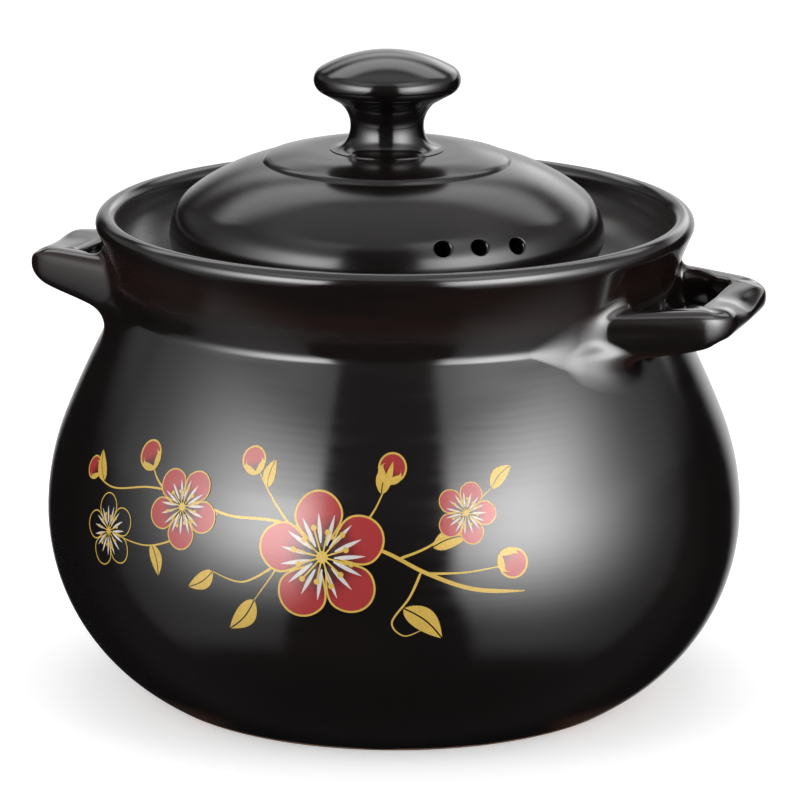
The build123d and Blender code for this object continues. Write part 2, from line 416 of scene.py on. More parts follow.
def makePotBody():
    p = pot
    lower, upper, shoulder, shoulderCurve, shoulderEnd = bellyCircles()
    lip = lipCentre()
    crease = (p["creaseRadius"], p["creaseHeight"])
    footAngle = turnedBy(lower, (p["footRadius"], 0))
    neck = neckCentre()
    neckStart = turnedBy(neck, crease)
    neckEnd = turnedBy(neck, lip)

    # the crease is rounded between the shoulder and the neck
    bend = radians(shoulderEnd + 90 - (neckStart - 90))
    cut = p["creaseRound"] * tan(bend / 2)
    creaseAngle = shoulderEnd - degrees(cut / shoulderCurve)
    creaseStart = onCircle(shoulder, shoulderCurve, creaseAngle)
    creaseCentre = onCircle(creaseStart, p["creaseRound"], creaseAngle)
    cutAngle = degrees(cut / p["neckCurve"])

    bottom = (p["recessRadius"], p["recessDepth"])
    body = Outline("potBody", 0, bottom[1])
    body.line(bottom[0], bottom[1], 6)
    body.line(bottom[0] + bottom[1], 0)
    body.line(p["footRadius"] - p["footRound"], 0, 2)
    footTop = onCircle(lower, p["lowerCurve"], footAngle + p["footTurn"])
    inset, lift = p["footCorner"]
    body.line((p["footRadius"] + footTop[0]) / 2 - inset, lift)
    body.line(*footTop)
    body.arc(lower, -footAngle - p["footTurn"], 34)
    body.arc(upper, p["shoulderLean"], 16)
    body.arc(shoulder, creaseAngle - p["shoulderLean"], 24)
    body.arc(creaseCentre, -degrees(bend), 6)
    body.arc(neck, neckEnd - neckStart + cutAngle, 18)
    body.arc(lip, 360 - neckEnd, 18)
    funnel = (body.r - (lip[1] - p["galleryHeight"]), lip[1])
    body.arc(funnel, -90, 16)
    top, thick, rounding = p["galleryHeight"], p["galleryThickness"], p["galleryRound"]
    body.line(p["mouthRadius"] + rounding, top, 6)
    body.arc((p["mouthRadius"] + rounding, top - rounding), 90, 5)
    body.line(p["mouthRadius"], top - thick + rounding)
    body.arc((p["mouthRadius"] + rounding, top - thick + rounding), 90, 5)
    throat = p["creaseRadius"] - p["wall"]
    root = throat - p["throatRound"]
    body.line(root, top - thick, 5)
    body.arc((root, top - thick - p["throatRound"]), -90, 6)
    innerShoulder = shoulderCurve - p["wall"]
    innerEnd = degrees(acos((throat - shoulder[0]) / innerShoulder))
    body.line(*onCircle(shoulder, innerShoulder, innerEnd), 2)
    body.arc(shoulder, p["shoulderLean"] - innerEnd, 8)
    body.arc(upper, -p["shoulderLean"], 10)
    innerLower = p["lowerCurve"] - p["wall"]
    floorAngle = degrees(asin((p["bellyHeight"] - p["floor"]) / innerLower))
    body.arc(lower, p["floorTurn"] - floorAngle, 16)
    run, lift = p["floorCorner"]
    body.line(body.r - run, p["floor"] + lift)
    body.line(body.r - run, p["floor"])
    body.line(0, p["floor"], 10)
    return body.revolve(p["steps"])


# Ear handles

ear = {
    "reach": potHigh.x / mm + 6.8,  # past the belly
    "tipHalfWidth": 27.9,
    "armLean": 24,
    "armThickness": 9.2,
    "barThickness": {"right": 14.4, "left": 18},
    "outerRound": 13,
    "innerRound": {"right": 9, "left": 10},
    "innerShare": 0.55,  # what lies deeper in the strap than this belongs to its inner outline
    "innerSquash": 0.5,
    "fillMargin": 3,
    "top": 152,
    "depth": 15.5,
    "tipDepth": 9,
    "taperLength": 18,
    "taperCurve": 0.75,
    "edgeRound": 4.3,
    "saddle": {"right": 0.9, "left": 0.1},
    "saddleWidth": 10,
    "armLength": 46,
    "raise": {"right": 0.8, "left": 3.3},
    "tilt": {"right": 0, "left": 3.2},
    "tipDroop": {"right": 1.8, "left": 3.6},
    "middleDroop": {"right": 3.6, "left": 0},
    "droopWidth": 13,
    "tipLength": 12,
    "hump": {"right": 0, "left": 2.4},
    "humpPlace": (-9, 8),  # its middle along Y and its half width
    "rootFlare": {"right": 4, "left": 7},
    "flareLength": 32,
    "flareCurve": 1.3,
    "smoothing": (0.5, 4),
    "lutingInside": 9,
    "lutingOutside": 4,
    "lutingBelow": 12,
    "pullOutside": 1.2,
    "pullBelow": 1.4,
    "outsideBlend": 4,
    "belowBlend": (1, 8),
    "creaseFill": 8.5,
    "creaseReach": 34,
    "creaseFade": 1.5,
    "padSpan": 48,
    "padRadius": 92,
    "padHeights": (108, 162),
    "padDepth": 3.2,
    "padSink": (0.3, 6),  # how far its rim lies under the skin, and over what length
    "skinGap": 0.012,
    "slackHeights": (150, 133),  # where the neck's and the shoulder's curves are held against the body
    "voxel": 0.85,
    "inside": 1.3,  # points of the pad deeper than this stay where they are
    "rounds": 9,
    "closeEnough": 1e-4,
    "leastSlope": 0.05,
}


def bell(value, centre, width):
    return exp(-(((value - centre) / width) ** 2))


def makeStrap(side):
    e = ear
    lean = radians(e["armLean"])
    along = Vector((cos(lean), sin(lean), 0))
    outward = Vector((sin(lean), -cos(lean), 0))
    turn = pi / 2 - lean
    corner = Vector((e["reach"], -e["tipHalfWidth"], 0))
    arcStart = corner - along * e["outerRound"] * tan(turn / 2)
    arcCentre = arcStart - outward * e["outerRound"]
    root = arcStart - along * e["armLength"] - outward * e["armThickness"] / 2
    middle = e["top"] - e["depth"] / 2

    bpy.ops.object.select_all(action="DESELECT")
    bpy.ops.mesh.primitive_plane_add(
        size=1, location=(root.x * mm, root.y * mm, middle * mm), rotation=(pi / 2, 0, -turn)
    )
    strap = bpy.context.object
    strap.name = side + "Strap"
    strap.scale = (e["armThickness"] * mm, e["depth"] * mm, 1)
    bpy.ops.object.transform_apply()
    bpy.ops.object.mode_set(mode="EDIT")
    bpy.ops.mesh.select_all(action="SELECT")
    bpy.ops.mesh.bevel(offset=e["edgeRound"] * mm, segments=4, affect="VERTICES")

    def straight(way, length, parts):
        for _ in range(parts):
            bpy.ops.mesh.extrude_region_move(TRANSFORM_OT_translate={"value": way * length * mm / parts})

    def bend(centre):
        bpy.ops.mesh.spin(steps=8, angle=-turn, center=(centre.x * mm, centre.y * mm, 0), axis=(0, 0, 1))

    straight(along, e["armLength"], 12)
    bend(arcCentre)
    straight(Vector((0, 1, 0)), -2 * arcCentre.y, 8)
    bend(Vector((arcCentre.x, -arcCentre.y, 0)))
    straight(Vector((-along.x, along.y, 0)), e["armLength"], 12)
    bpy.ops.mesh.select_all(action="SELECT")
    bpy.ops.mesh.normals_make_consistent(inside=False)
    bpy.ops.object.mode_set(mode="OBJECT")

    # inner outline: a thicker bar, and filled corners where it meets the arms
    barInside = e["reach"] - e["barThickness"][side]
    armInside = corner - outward * e["armThickness"]
    across = (barInside - armInside.x) / along.x
    insideCorner = armInside + along * across
    half = (pi / 2 + lean) / 2
    fill = e["innerRound"][side] / sin(half)
    inwards = Vector((-cos(half), sin(half), 0))
    fillCentre = insideCorner + inwards * fill
    reachOfFill = e["innerRound"][side] / tan(half)
    thick = e["armThickness"]
    skin = thick * e["innerShare"]
    for vertex in strap.data.vertices:
        x, y, z = vertex.co / mm
        flip = 1 if y > 0 else -1
        spot = Vector((x, -abs(y), 0))
        if x < e["reach"] - skin and (corner - spot).dot(outward) > skin:
            spot.x = min(spot.x, barInside + (spot.x - (e["reach"] - thick)) * e["innerSquash"])
            away = spot - fillCentre
            near = (spot - insideCorner).length < reachOfFill + e["fillMargin"]
            if near and away.length > e["innerRound"][side] and away.dot(inwards) < 0:
                spot = fillCentre + away.normalized() * e["innerRound"][side]
        x, y = spot.x, spot.y * -flip
        sweep = max(0, x - (e["reach"] - e["taperLength"])) / e["taperLength"]
        low = min(1, max(0, (e["top"] - z) / e["depth"]))
        high = 1 - low
        z += (e["depth"] - e["tipDepth"]) * (1 - sqrt(max(0, 1 - sweep**2 * e["taperCurve"]))) * 2 * low
        # a shallow saddle for the fingers on the bar, between its two knuckles, and a hump beside it
        z -= e["saddle"][side] * bell(y, 0, e["saddleWidth"]) * min(1, sweep * 2) * high
        tip = max(0, x - (e["reach"] - e["tipLength"])) / e["tipLength"]
        z -= (e["tipDroop"][side] + e["middleDroop"][side] * bell(y, 0, e["droopWidth"])) * tip**2 * high
        z += e["hump"][side] * bell(y, *e["humpPlace"]) * min(1, sweep * 2) * high
        # the arms deepen towards their roots
        root = min(1, max(0, (e["reach"] - e["outerRound"] - x) / e["flareLength"]))
        z -= e["rootFlare"][side] * root ** e["flareCurve"] * low
        vertex.co = Vector((x, y, z)) * mm

    softness, passes = e["smoothing"]
    applyModifier(strap, "SMOOTH", factor=softness, iterations=passes)
    applyModifier(strap, "SUBSURF", levels=3, render_levels=3)
    # the left ear was luted on a little higher, and a little crooked
    facing = 1 if side == "right" else -1
    tilt = radians(e["tilt"][side])
    strap.rotation_euler = (tilt, 0, 0 if side == "right" else pi)
    strap.location = (0, facing * middle * sin(tilt) * mm, (middle * (1 - cos(tilt)) + e["raise"][side]) * mm)
    bpy.ops.object.transform_apply()
    return strap


def makePad(side, body):
    # a slab just under the body's skin, which carries the strap and the clay smoothed round its roots
    e = ear
    facing = 1 if side == "right" else -1
    bottom, top = e["padHeights"]
    only(body)
    bpy.ops.object.mode_set(mode="EDIT")
    bpy.ops.mesh.select_all(action="DESELECT")
    bpy.ops.object.mode_set(mode="OBJECT")
    for face in body.data.polygons:
        x, y, z = face.center / mm
        if bottom < z < top and abs(turnedBy((0, 0), (x * facing, y))) < e["padSpan"]:
            face.select = face.normal.x * x + face.normal.y * y > 0 and hypot(x, y) > e["padRadius"]
    bpy.ops.object.mode_set(mode="EDIT")
    bpy.ops.mesh.duplicate()
    bpy.ops.mesh.separate(type="SELECTED")
    bpy.ops.object.mode_set(mode="OBJECT")
    pad = [piece for piece in bpy.context.selected_objects if piece is not body][0]
    for vertex in pad.data.vertices:
        vertex.co -= vertex.normal * e["skinGap"] * mm
    applyModifier(pad, "SOLIDIFY", thickness=e["padDepth"] * mm, offset=-1)
    return pad


def skinTree(piece):
    return BVHTree.FromObject(piece, bpy.context.evaluated_depsgraph_get())


def gapTo(tree, point):
    # signed distance from a surface in millimetres, and which way is out of it
    nearest, normal, _, gap = tree.find_nearest(point)
    if gap < 1e-7:  # on the surface itself
        return 0.0, normal
    away = point - nearest
    sign = 1 if away.dot(normal) >= 0 else -1
    return gap * sign / mm, away * (sign / gap)


def step(low, high, value):
    share = min(1, max(0, (value - low) / (high - low)))
    return share * share * (3 - 2 * share)


def makeEar(side, body):
    e = ear
    lean = radians(e["armLean"])
    strap = makeStrap(side)
    pad = makePad(side, body)
    bodySkin, strapSkin = skinTree(body), skinTree(strap)
    _, _, shoulder, shoulderCurve, _ = bellyCircles()
    neck = neckCentre()
    # the two curves' own gaps from the turned body, a few hundredths of a millimetre
    neckLevel, shoulderLevel = e["slackHeights"]
    onNeck = neck[0] - sqrt(pot["neckCurve"] ** 2 - (neckLevel - neck[1]) ** 2)
    onShoulder = shoulder[0] + sqrt(shoulderCurve**2 - (shoulderLevel - shoulder[1]) ** 2)
    neckSlack = gapTo(bodySkin, Vector((onNeck, 0, neckLevel)) * mm)[0]
    shoulderSlack = gapTo(bodySkin, Vector((onShoulder, 0, shoulderLevel)) * mm)[0]
    only(strap)
    pad.select_set(True)
    bpy.ops.object.join()
    piece = bpy.context.object
    piece.name = side + "Ear"
    piece.data.name = piece.name
    applyModifier(piece, "REMESH", mode="VOXEL", voxel_size=e["voxel"] * mm)

    # every point near the outside is drawn onto the strap, the skin, or the smooth fillet between them
    sink, sinkLength = e["padSink"]
    for vertex in piece.data.vertices:
        point = vertex.co.copy()
        for turn in range(e["rounds"]):
            gapBody, outBody = gapTo(bodySkin, point)
            gapStrap, outStrap = gapTo(strapSkin, point)
            if turn == 0 and min(gapBody, gapStrap) < -e["inside"]:
                break
            gapBody += e["skinGap"] + sink * step(0, sinkLength, gapStrap - e["creaseReach"])
            # beside the arms the clay also fills the crease between the shoulder and the neck
            x, y, z = point / mm
            r = hypot(x, y)
            gapShoulder = hypot(r - shoulder[0], z - shoulder[1]) - shoulderCurve + shoulderSlack
            gapNeck = pot["neckCurve"] - hypot(r - neck[0], z - neck[1]) + neckSlack
            filled = e["creaseFill"] * step(e["creaseReach"], 0, gapStrap) ** e["creaseFade"]
            overlap = filled - abs(gapShoulder - gapNeck)
            if overlap > 0:
                gapBody = min(gapBody, min(gapShoulder, gapNeck) - overlap**2 / (4 * filled) + e["skinGap"])
            # outside and below the arms the clay is smoothed further over the body than along the strap
            middle = e["tipHalfWidth"] + (e["reach"] - abs(x)) * tan(lean) - e["armThickness"] / 2 / cos(lean)
            outside = step(-e["outsideBlend"], e["outsideBlend"], abs(y) - middle)
            below = step(*e["belowBlend"], e["top"] - e["depth"] / 2 + e["raise"][side] - z)
            reach = e["lutingInside"] + (e["lutingOutside"] - e["lutingInside"]) * outside
            reach += (e["lutingBelow"] - reach) * below
            pull = 1 + (e["pullOutside"] - 1) * outside
            pull += (e["pullBelow"] - pull) * below
            share = max(0, reach - abs(gapBody * pull - gapStrap))
            level = min(gapBody * pull, gapStrap) - share**2 / (4 * reach)
            weight = min(1, max(0, 0.5 + (gapBody * pull - gapStrap) / (2 * reach)))
            way = outBody * pull * (1 - weight) + outStrap * weight
            if way.length < e["leastSlope"] or abs(level) < e["closeEnough"]:
                break
            point -= way * (level / way.length_squared) * mm
        vertex.co = point
    return piece


# Lid

lidLow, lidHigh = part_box("lid")
lidCentre = (lidLow + lidHigh) / 2
lid = {
    "base": 154.5,
    "radius": (lidHigh.x - lidLow.x) / 2 / mm,
    "widestRise": 13,
    "edgeCurve": 15,
    "slowCurve": 20,
    "slowFrom": 30,
    "tuckCurve": 9,
    "tuck": 30,
    "tuckLift": 0.8,
    "seatRadius": 73,
    "seatInset": 1,
    "seatRound": 0.3,
    "shoulder": 52,
    "crownRadius": 44.3,
    "crownRise": 37.3,
    "discEdge": (43.5, 38.5),
    "discBevel": [(0.15, -0.35), (-0.2, -0.02)],
    "discFlat": 26,
    "discRise": 41.5,
    "wall": 5.5,
    "flange": 5,
    "ringOuter": 62.5,
    "ringInner": 58,
    "ringDepth": 5,
    "ringRound": 1,
    "steps": 192,
    "ventRadius": 2.7,
    "ventLip": 1.3,
    "ventFlare": 80,
    "ventStart": 0.1,
    "ventReach": (-9, 4),
    "ventSteps": 40,
    "vents": [(-56.2, 33), (-45.8, 31), (-34.4, 27.3)],  # bearing, and angle up the edge's curve
    "ventBeside": 12,  # how far round the steam holes the dome's first shading is kept
    "skinMatch": 0.004,  # points this near the uncut dome are on its outside
}


def makeLid():
    p = lid
    base = p["base"]
    edge = (p["radius"] - p["edgeCurve"], base + p["widestRise"])
    slow = onCircle(edge, p["edgeCurve"] - p["slowCurve"], p["slowFrom"])
    under = (slow[0] + p["slowCurve"] - p["tuckCurve"], slow[1])
    tuckPoint = onCircle(under, p["tuckCurve"], -p["tuck"])
    seat = p["seatRadius"]
    start = onCircle(edge, p["edgeCurve"], p["shoulder"])
    end = (p["crownRadius"], base + p["crownRise"])
    chord = hypot(end[0] - start[0], end[1] - start[1])
    chordTurn = turnedBy(start, end) - (p["shoulder"] + 90)
    crown = chord / 2 / sin(radians(chordTurn))
    centre = onCircle(start, -crown, p["shoulder"])

    # underside: the hollow, the flange and the ring that drops into the mouth
    hollow = crown - p["wall"]
    inner = p["edgeCurve"] - p["wall"]
    flangeTop = base + p["flange"]
    flangeAngle = degrees(asin((edge[1] - flangeTop) / inner))
    rounding = p["ringRound"]
    ringFoot = base - p["ringDepth"]
    dome = Outline("lidDome", 0, centre[1] + hollow)
    dome.line(centre[0], centre[1] + hollow, 5)
    dome.arc(centre, p["shoulder"] - 90, 14)
    dome.arc(edge, -p["shoulder"] - flangeAngle, 14)
    dome.line(p["ringInner"], flangeTop, 3)
    dome.line(p["ringInner"], ringFoot + rounding, 2)
    dome.arc((p["ringInner"] + rounding, ringFoot + rounding), 90, 4)
    dome.line(p["ringOuter"] - rounding, ringFoot)
    dome.arc((p["ringOuter"] - rounding, ringFoot + rounding), 90, 4)
    dome.line(p["ringOuter"], base, 2)
    # the seat, the edge, the crown and the disc
    dome.line(seat - p["seatInset"], base, 3)
    dome.line(seat - p["seatRound"], base + p["seatRound"])
    dome.line((seat + 3 * tuckPoint[0]) / 4, (base + p["tuckLift"] + 3 * tuckPoint[1]) / 4)
    dome.line(*tuckPoint)
    dome.arc(under, p["tuck"], 8)
    dome.arc(slow, p["slowFrom"], 12)
    dome.arc(edge, p["shoulder"] - p["slowFrom"], 8)
    dome.arc(centre, turnedBy(centre, end) - p["shoulder"], 16)
    discR, discRise = p["discEdge"]
    for aside, lift in p["discBevel"]:
        dome.line(discR + aside, base + discRise + lift)
    rim = dome.r
    parts = 9
    for part in range(1, parts + 1):
        share = part / parts
        climb = (p["discRise"] - discRise) * sin(share * pi / 2)
        dome.line(rim + (p["discFlat"] - rim) * share, base + discRise + climb)
    dome.line(0, base + p["discRise"], 8)
    piece = dome.revolve(p["steps"])
    smoothShade(piece)
    cutVents(piece, edge, slow)
    return piece


def cutVents(piece, edge, slow):
    # each cutter is a plug with a flared mouth, so that the hole's rim comes out rounded
    p = lid
    only(piece)
    bpy.ops.object.duplicate()
    intact = bpy.context.object
    bottom, top = p["ventReach"]
    flare = (p["ventRadius"] + p["ventLip"], -p["ventLip"] - p["ventStart"])
    mouths = []
    for bearing, angle in p["vents"]:
        plug = Outline("ventPlug", 0, bottom)
        plug.line(p["ventRadius"], bottom)
        plug.line(p["ventRadius"], flare[1], 4)
        plug.arc(flare, -p["ventFlare"], 5)
        plug.line(plug.r, top)
        plug.line(0, top)
        cutter = plug.revolve(p["ventSteps"])
        # below the shoulder the dome follows the slow curve
        centre, curve = (edge, p["edgeCurve"]) if angle > p["slowFrom"] else (slow, p["slowCurve"])
        r, z = onCircle(centre, curve, angle)
        around = radians(bearing)
        cutter.rotation_euler = (0, radians(90 - angle), around)
        cutter.location = (r * mm * cos(around), r * mm * sin(around), z * mm)
        mouths.append(Vector(cutter.location))
        only(cutter)
        bpy.ops.object.transform_apply()
        applyModifier(piece, "BOOLEAN", object=cutter, operation="DIFFERENCE", solver="EXACT")
        discard(cutter)
    # the dome beside the holes keeps the smooth shading that it had before they were cut
    smoothShade(piece)
    outside = piece.vertex_groups.new(name="outside")
    skin = skinTree(intact)
    # further off, at the disc's sharp edge, the nearest face could be on either side of it
    kept = [
        vertex.index for vertex in piece.data.vertices
        if min((vertex.co - mouth).length for mouth in mouths) < p["ventBeside"] * mm
        and abs(gapTo(skin, vertex.co)[0]) < p["skinMatch"]
    ]
    outside.add(kept, 1, "REPLACE")
    only(piece)
    applyModifier(
        piece, "DATA_TRANSFER", object=intact, use_loop_data=True, data_types_loops={"CUSTOM_NORMAL"},
        loop_mapping="POLYINTERP_NEAREST", vertex_group="outside",
    )
    discard(intact)


# Knob

knobLow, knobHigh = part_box("lid_knob")
knob = {
    "base": knobLow.z / mm,
    "height": (knobHigh.z - knobLow.z) / mm,
    "radius": (knobHigh.x - knobLow.x) / 2 / mm,
    "widestRise": 24.9,
    "edgeRound": 4.6,
    "waistRadius": 13.1,
    "waistRise": 8.5,
    "waistCurve": 10.8,
    "neckRise": 17.4,
    "footRadius": 20.4,
    "footEdge": 0.25,
    "footTurn": 215,  # where the foot meets the waist's curve
    "steps": 160,
}


def makeKnob():
    p = knob
    base = p["base"]
    waist = (p["waistRadius"] + p["waistCurve"], base + p["waistRise"])
    neckDrop = p["neckRise"] - p["waistRise"]
    neckMeet = (waist[0] - sqrt(p["waistCurve"] ** 2 - neckDrop**2), base + p["neckRise"])
    rim = (p["radius"] - p["edgeRound"], base + p["widestRise"])
    capRise = p["height"] - p["widestRise"]
    capRadius = (rim[0] ** 2 + capRise**2 - p["edgeRound"] ** 2) / (2 * (capRise - p["edgeRound"]))
    cap = (0, base + p["height"] - capRadius)
    capAngle = turnedBy(cap, rim)
    underReach = hypot(rim[0] - neckMeet[0], rim[1] - neckMeet[1])
    underAngle = turnedBy(neckMeet, rim) - degrees(asin(p["edgeRound"] / underReach))
    under = onCircle(rim, p["edgeRound"], underAngle - 90)
    stem = Outline("lidKnob", 0, base)
    stem.line(p["footRadius"], base, 4)
    stem.line(p["footRadius"], base + p["footEdge"])
    footMeet = onCircle(waist, p["waistCurve"], p["footTurn"])
    climb = footMeet[1] - stem.z
    run = stem.r - footMeet[0]
    parts = 7
    for part in range(1, parts + 1):
        share = part / parts
        stem.line(p["footRadius"] - run * share, base + p["footEdge"] + climb * share**3)
    stem.arc(waist, turnedBy(waist, neckMeet) - p["footTurn"], 20)
    stem.line(*under, 5)
    stem.arc(rim, capAngle - (underAngle - 90), 18)
    stem.arc(cap, 90 - capAngle, 22)
    return stem.revolve(p["steps"])


# Foot: the glaze is wiped off where the pot stands

foot = {
    "height": 1.6,
    "proud": 0.05,
    "overlap": 0.01,
    "depth": 0.4,
    "rise": 0.6,
    "inset": 1,
    "waver": 0.45,
    "waverFrom": 0.3,
    "waverEdge": 0.5,
    "waverLean": 0.55,
    "waves": [(5, 1, 0.5), (13, 0, 0.3), (29, 2, 0.2)],  # how many round the foot, start, share
    "steps": 360,
}


def makeFootRing():
    p, f = pot, foot
    lower = bellyCircles()[0]
    start = (p["recessRadius"] + f["inset"], f["depth"])
    ring = Outline("bareFoot", *start)
    ring.line(p["recessRadius"] + p["recessDepth"], f["overlap"])
    ring.line(p["footRadius"] - p["footRound"], 0, 3)
    topAngle = turnedBy(lower, (p["footRadius"], 0)) + p["footTurn"]
    climb = degrees(f["height"] / p["lowerCurve"])
    ring.line(*onCircle(lower, p["lowerCurve"] + f["proud"], topAngle), 2)
    ring.arc(lower, climb, 6)
    ring.line(*onCircle(lower, p["lowerCurve"] - f["depth"], topAngle + climb))
    ring.line(p["footRadius"] - 2 * f["inset"], f["rise"], 2)
    ring.line(p["recessRadius"] + 2 * f["inset"], f["rise"], 3)
    ring.line(*start)
    piece = ring.revolve(f["steps"])
    # the wiped edge wavers up and down the side
    for vertex in piece.data.vertices:
        x, y, z = vertex.co / mm
        if hypot(x, y) > p["footRadius"] - f["waverEdge"] and z > f["waverFrom"]:
            around = atan2(y, x)
            wave = sum(sin(around * count + start) * share for count, start, share in f["waves"])
            rise = f["waver"] * wave * (z - f["waverFrom"]) / f["height"]
            vertex.co.z += rise * mm
            grow = 1 + rise * f["waverLean"] / hypot(x, y)
            vertex.co.x *= grow
            vertex.co.y *= grow
    return piece


# Fired-on ornament: a flowering plum branch, drawn flat and then wrapped round the belly

ornament = {
    # places are x round the belly and y up it, then a size and a turn in degrees
    "bearing": -87.1,
    "drop": 4,  # the whole branch lies this far below its drawing
    "proud": 0.05,
    "thickness": 0.04,
    "layer": 0.012,
    "branchWidth": 1.5,
    "twigShare": 0.62,
    "blossoms": [(10, 19, 24, 8), (-45, 30, 15.5, 40), (60, 34, 11.5, -20)],
    "paleBlossoms": [(-80, 15, 14, 15)],
    "buds": [(34, 50, 5, 65), (-19, 50, 4.5, 110), (-66, 45, 5, 130), (76, 16, 5, -35), (-97, 34, 4, 160)],
    "leaves": [
        (38, 2, 17, -40), (-14, 2, 15, -130), (-30, 10, 12, 215), (48, 23, 13, 15), (-57, 15, 11, -70),
        (-88, 31, 12, 125), (30, 41, 12, 70), (70, 42, 11, 40), (-12, 41, 10, 80),
    ],
    "twigs": [
        [
            (80, 6), (62, 8), (46, 14), (30, 22), (12, 26), (-8, 30),
            (-26, 30), (-45, 34), (-62, 34), (-82, 30), (-97, 33),
        ],
        [(36, 19), (48, 24), (60, 34), (70, 42)],
        [(46, 14), (60, 14), (76, 16)],
        [(-2, 29), (-10, 38), (-19, 50)],
        [(20, 25), (28, 36), (34, 50)],
        [(-54, 34), (-60, 38), (-66, 45)],
        [(-30, 30), (-44, 20), (-60, 14), (-80, 15)],
        [(44, 15), (40, 6), (34, -3), (38, -8), (44, -6)],
        [(0, 26), (-6, 14), (-14, 2)],
        [(-5, 16), (-18, 8), (-30, 10)],
    ],
}


def newSheet(name, across, along, shape, lift, tone=None):
    # a flat grid whose corners (-1..1, -1..1) are moved to shape(u, v), with a paint tone from 0 to 1
    bpy.ops.object.select_all(action="DESELECT")
    bpy.ops.mesh.primitive_grid_add(x_subdivisions=across, y_subdivisions=along, size=2)
    sheet = bpy.context.object
    sheet.name = name
    tones = sheet.data.attributes.new("tone", "FLOAT", "POINT")
    for vertex in sheet.data.vertices:
        u, v = vertex.co.x, vertex.co.y
        x, y = shape(u, v)
        vertex.co = (x * mm, y * mm, lift * mm)
        tones.data[vertex.index].value = tone(u, v) if tone else 0.5
    return sheet


def ribbon(name, path, width, parts, lift):
    # a flat line of changing width along path(0..1)
    near = 0.002  # either side of a point, to find which way the line runs there

    def shape(u, v):
        share = (u + 1) / 2
        here, there = path(max(0, share - near)), path(min(1, share + near))
        run, climb = there[0] - here[0], there[1] - here[1]
        length = hypot(run, climb) or 1
        spot = path(share)
        side = v * width(share) / 2
        return spot[0] - climb / length * side, spot[1] + run / length * side
    return newSheet(name, parts, 1, shape, lift)


def throughPoints(points):
    # a smooth line through given points
    def path(share):
        place = share * (len(points) - 1)
        first = min(int(place), len(points) - 2)
        t = place - first
        before = points[max(0, first - 1)]
        after = points[min(len(points) - 1, first + 2)]
        a, b = points[first], points[first + 1]
        return tuple(
            0.5 * (2 * p + (q - o) * t + (2 * o - 5 * p + 4 * q - n) * t * t + (3 * p - o - 3 * q + n) * t**3)
            for o, p, q, n in zip(before, a, b, after)
        )
    return path


def discPoint(u, v):
    return u * sqrt(1 - v * v / 2), v * sqrt(1 - u * u / 2)


# shares of a blossom's radius
blossomForm = {
    "petals": 5,
    "petalWidth": 0.36,
    "petalRoot": 0.4,
    "petalSwell": 1.5,
    "petalStart": 0.14,
    "petalLength": 0.8,
    "rimWidth": 0.02898,
    "rimTurns": (-60, 300),
    "strokeLeans": (-0.16, 0.0, 0.16),
    "strokeStart": 0.2,
    "strokeLength": 0.42,
    "strokeWidth": 0.055,
    "strokeEnd": 0.004,
    "stamens": 12,
    "stamenTurn": 11,
    "stamenLengths": (0.36, 0.43),
    "stamenWidth": 0.024,
    "anther": 0.042,
    "heart": 0.085,
}


def petalPoint(x, y):
    # a round plum petal of the unit blossom, growing along +Y from near its heart
    b = blossomForm
    share = (y + 1) / 2
    swell = b["petalRoot"] + (1 - b["petalRoot"]) * sin(pi / 2 * min(1, share * b["petalSwell"]))
    return x * b["petalWidth"] * swell, b["petalStart"] + b["petalLength"] * share


def joined(name, pieces):
    bpy.ops.object.select_all(action="DESELECT")
    for piece in pieces:
        piece.select_set(True)
    bpy.context.view_layer.objects.active = pieces[0]
    if len(pieces) > 1:
        bpy.ops.object.join()
    result = bpy.context.object
    result.name = name
    return result


def copiesOf(piece, places):
    # each place is (x, y, size, turn in degrees, lift)
    made = []
    for x, y, size, turn, lift in places:
        only(piece)
        bpy.ops.object.duplicate()
        copy = bpy.context.object
        copy.scale = (size, size, 1)
        copy.rotation_euler = (0, 0, radians(turn))
        copy.location = (x * mm, y * mm, lift * mm)
        bpy.ops.object.transform_apply()
        made.append(copy)
    return made


